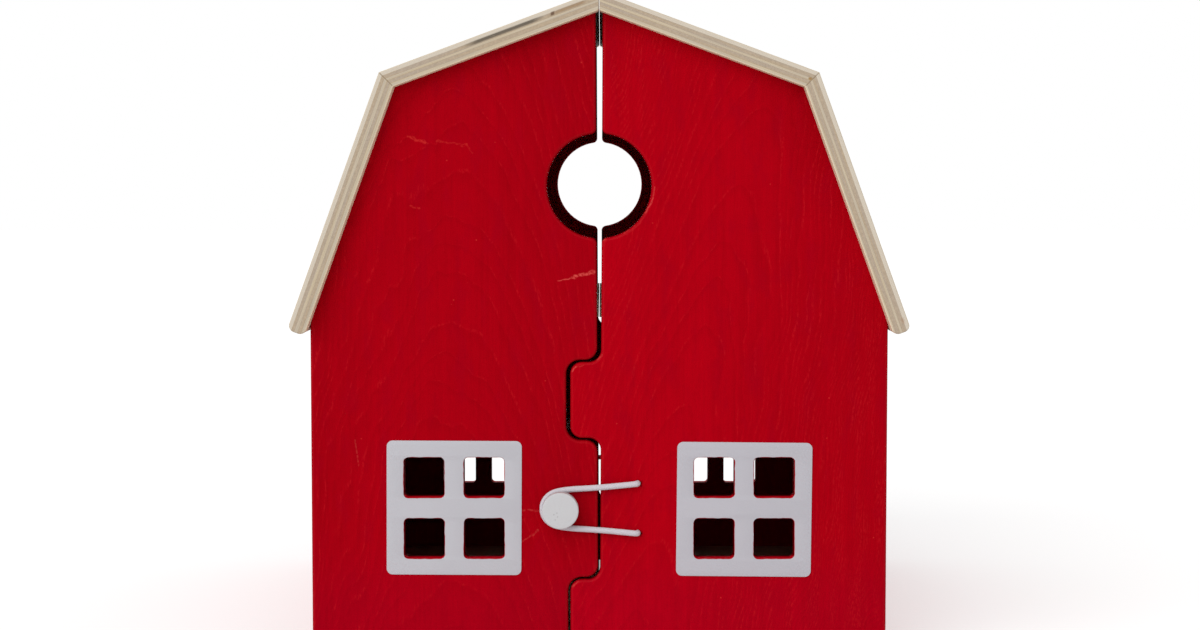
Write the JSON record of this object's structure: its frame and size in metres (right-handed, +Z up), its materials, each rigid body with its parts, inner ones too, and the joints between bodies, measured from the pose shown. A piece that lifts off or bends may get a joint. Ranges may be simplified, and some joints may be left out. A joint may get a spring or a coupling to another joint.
{
  "type": "wooden toy house",
  "caption": "Toy house of stained plywood with a gambrel roof, parted down the middle into two open halves that lock with tabs and are held shut by elastic loops on knobs.",
  "frame": {"origin": "middle of the base, on the plane that the house stands on", "axes": "+Z up to the ridge, -Y out of the front gables, X across the seam between the halves"},
  "size_m": [0.2768, 0.2792, 0.2987],
  "materials": {
    "red_plywood": "red stain over fine birch grain, satin lacquer",
    "birch_plywood": "bare birch plywood with a clear satin lacquer, plies showing at the edges",
    "white_paint": "flat white paint film",
    "white_knob": "turned wood under smooth white paint",
    "white_elastic": "braided round elastic cord",
    "dowel_wood": "plain beech"
  },
  "bodies": {
    "right_half": {"right_tab_gable": "red_plywood", "right_socket_gable": "red_plywood", "right_tab_gable_window_surround": "white_paint", "right_socket_gable_window_surround": "white_paint", "right_side_wall": "red_plywood", "right_floor": "birch_plywood", "right_loft": "birch_plywood", "right_lower_roof": "birch_plywood", "right_upper_roof": "birch_plywood", "right_knob": "white_knob", "right_elastic_ends": "white_elastic", "right_dowels": "dowel_wood"},
    "left_half": {"left_tab_gable": "red_plywood", "left_socket_gable": "red_plywood", "left_tab_gable_window_surround": "white_paint", "left_socket_gable_window_surround": "white_paint", "left_side_wall": "red_plywood", "left_floor": "birch_plywood", "left_loft": "birch_plywood", "left_lower_roof": "birch_plywood", "left_upper_roof": "birch_plywood", "left_knob": "white_knob", "left_elastic_ends": "white_elastic", "left_dowels": "dowel_wood"},
    "right_loop": {"right_elastic_loop": "white_elastic"},
    "left_loop": {"left_elastic_loop": "white_elastic"}
  },
  "joints": [
    {"name": "halves_part", "type": "slide", "parent": "right_half", "child": "left_half", "axis": [-1, 0, 0], "range_m": [0, 0.16], "deforming": ["right_elastic_loop", "left_elastic_loop"]},
    {"name": "right_loop_swing", "type": "hinge", "parent": "right_half", "child": "right_loop", "pos_m": [0.0174, -0.13, 0.067], "axis": [0, 0, 1], "range_deg": [0, 150], "deforming": ["right_elastic_loop"]},
    {"name": "left_loop_swing", "type": "hinge", "parent": "left_half", "child": "left_loop", "pos_m": [-0.0174, 0.13, 0.067], "axis": [0, 0, 1], "range_deg": [0, 150], "deforming": ["left_elastic_loop"]}
  ]
}
